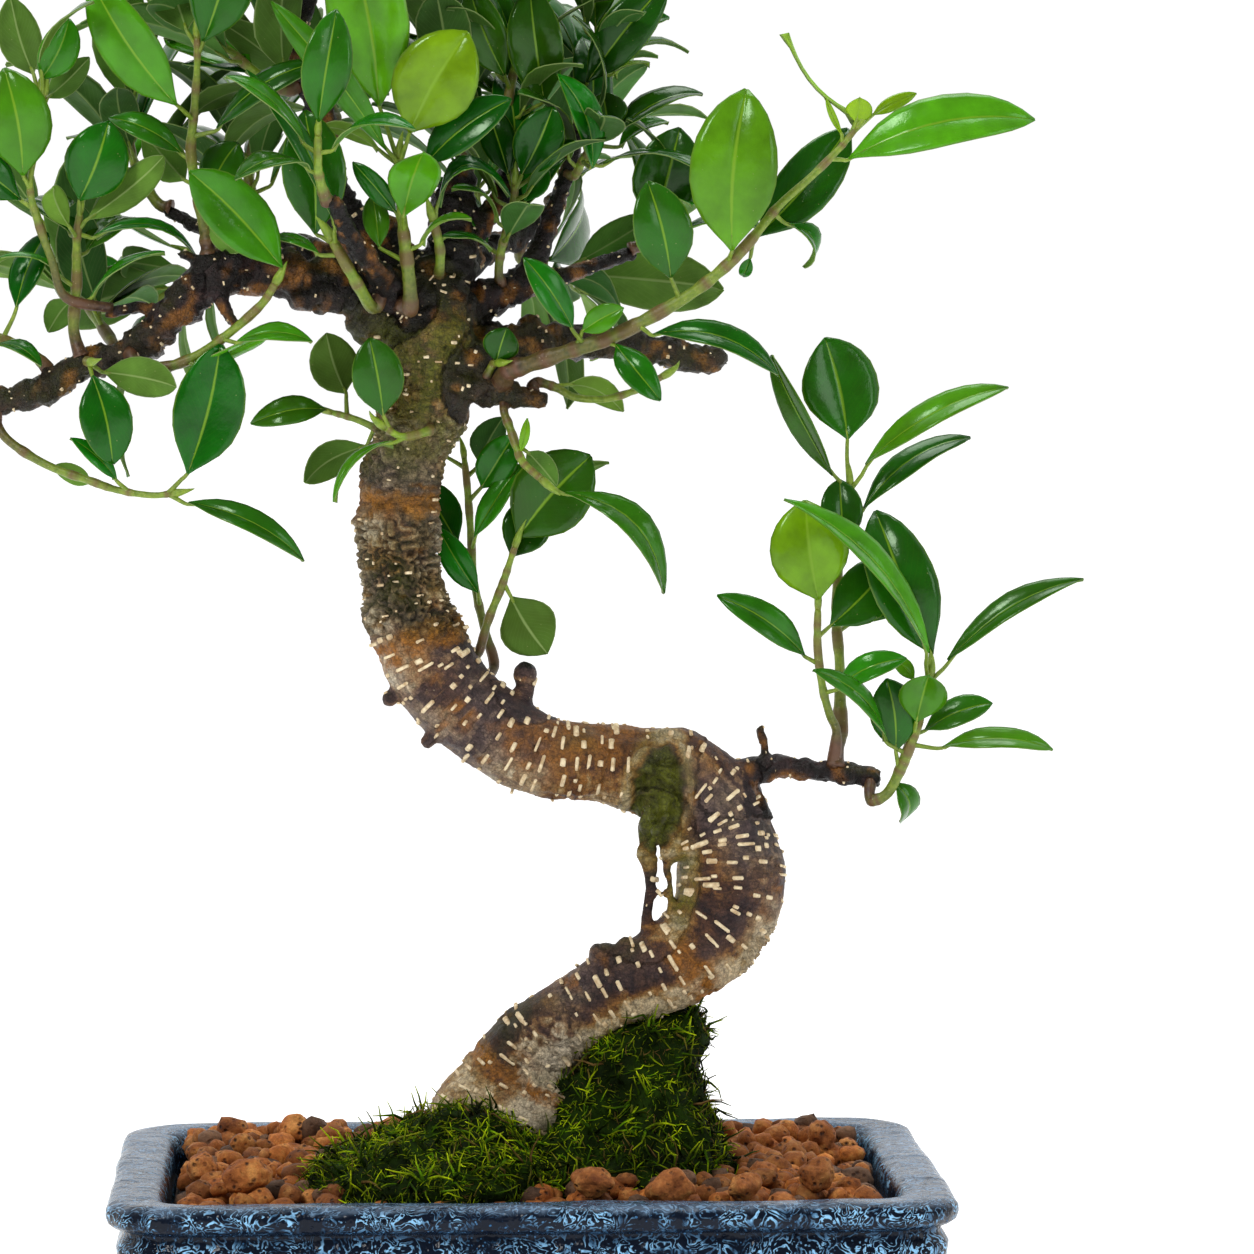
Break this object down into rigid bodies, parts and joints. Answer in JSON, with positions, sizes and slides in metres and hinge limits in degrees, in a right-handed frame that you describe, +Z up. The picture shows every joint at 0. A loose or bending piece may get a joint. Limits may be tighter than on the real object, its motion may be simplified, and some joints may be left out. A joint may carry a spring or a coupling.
{
  "type": "potted bonsai tree",
  "caption": "Fig bonsai with an S-curved trunk, branches and glossy leafy shoots, standing in a low glazed rectangular pot dressed with clay granules and moss.",
  "frame": {"origin": "centre of the whole object's box seen from above, at the height of the pot's feet (Z = 0)", "axes": "+Z up, +X to the right and +Y to the back when the pot's long front wall faces the viewer"},
  "size_m": [0.3744, 0.2236, 0.5173],
  "materials": {
    "blue_glaze": "thick glossy blue-black crackled glaze",
    "drain_screen": "matt black mesh",
    "soil": "damp gritty soil",
    "clay_granules": "rough fired clay granules",
    "moss": "soft living moss",
    "bark": "living bark with pale breathing marks",
    "leaf": "glossy waxy leaf"
  },
  "bodies": {
    "root": {"drain_screen_left": "drain_screen", "drain_screen_right": "drain_screen", "granule_1": "clay_granules", "granule_2": "clay_granules", "granule_3": "clay_granules", "granule_4": "clay_granules", "granule_5": "clay_granules", "granule_6": "clay_granules", "granule_7": "clay_granules", "granule_8": "clay_granules", "granule_bed": "clay_granules", "moss_apron": "moss", "moss_back": "moss", "moss_mound": "moss", "pot": "blue_glaze", "shoot_back": "leaf", "shoot_back_left": "leaf", "shoot_back_left_low": "leaf", "shoot_back_left_mid": "leaf", "shoot_back_low": "leaf", "shoot_back_mid": "leaf", "shoot_behind_low": "leaf", "shoot_behind_trunk": "leaf", "shoot_centre": "leaf", "shoot_centre_arch": "leaf", "shoot_front_left": "leaf", "shoot_front_low": "leaf", "shoot_hanging": "leaf", "shoot_leader_back": "leaf", "shoot_leader_left": "leaf", "shoot_left_back": "leaf", "shoot_left_end": "leaf", "shoot_left_far": "leaf", "shoot_left_front": "leaf", "shoot_left_leaf": "leaf", "shoot_left_low": "leaf", "shoot_left_second": "leaf", "shoot_left_third": "leaf", "shoot_left_upright": "leaf", "shoot_low_end": "leaf", "shoot_low_green": "leaf", "shoot_low_upright": "leaf", "shoot_middle": "leaf", "shoot_middle_top": "leaf", "shoot_right_back": "leaf", "shoot_right_fork": "leaf", "shoot_right_inner": "leaf", "shoot_right_tip": "leaf", "shoot_small_leaf": "leaf", "shoot_stub_top": "leaf", "shoot_top": "leaf", "shoot_top_back": "leaf", "shoot_top_front": "leaf", "shoot_top_left": "leaf", "shoot_trunk_back_left": "leaf", "shoot_trunk_left": "leaf", "shoot_under_right": "leaf", "soil": "soil", "trunk": "bark"}
  },
  "joints": []
}
